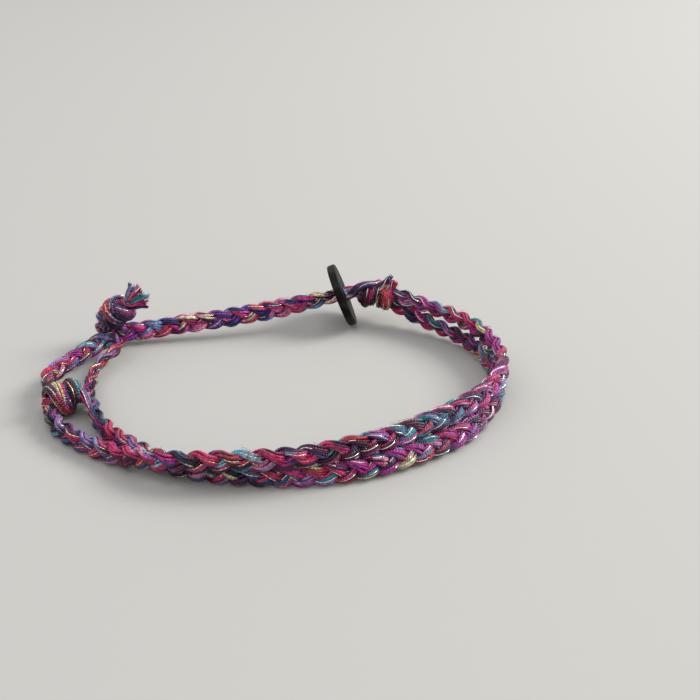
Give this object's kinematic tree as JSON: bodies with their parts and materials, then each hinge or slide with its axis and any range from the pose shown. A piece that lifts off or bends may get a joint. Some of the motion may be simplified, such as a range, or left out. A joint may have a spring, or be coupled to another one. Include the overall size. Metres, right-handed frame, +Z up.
{
  "type": "braided cord bracelet",
  "caption": "Flat braided thread bracelet lying fastened: braids round the wrist, a knotted end loop, a disc button threaded on the rear braid, and a stopper knot with frayed thread ends.",
  "frame": {"origin": "on the resting surface, under the middle of the bracelet's outline box", "axes": "+X along the long way of the oval, from the end loop to the right-hand bend; +Y from the front braids to the rear braid; +Z up from the resting surface"},
  "size_m": [0.0802, 0.0596, 0.0134],
  "materials": {
    "thread_bright": "shiny twisted thread",
    "thread_cool": "shiny twisted thread",
    "thread_deep": "shiny twisted thread",
    "thread_mixed": "shiny twisted thread",
    "button": "soft sheen"
  },
  "bodies": {
    "root": {"over_one": "thread_bright", "over_two": "thread_cool", "over_three": "thread_deep", "under_one": "thread_bright", "under_two": "thread_cool", "under_three": "thread_deep", "loop_one": "thread_bright", "loop_two": "thread_cool", "loop_three": "thread_deep", "rear_one": "thread_bright", "rear_two": "thread_cool", "rear_three": "thread_deep", "loop_knot": "thread_mixed", "join_knot": "thread_mixed", "stopper_knot": "thread_mixed", "thread_ends": "thread_mixed", "button": "button"}
  },
  "joints": []
}
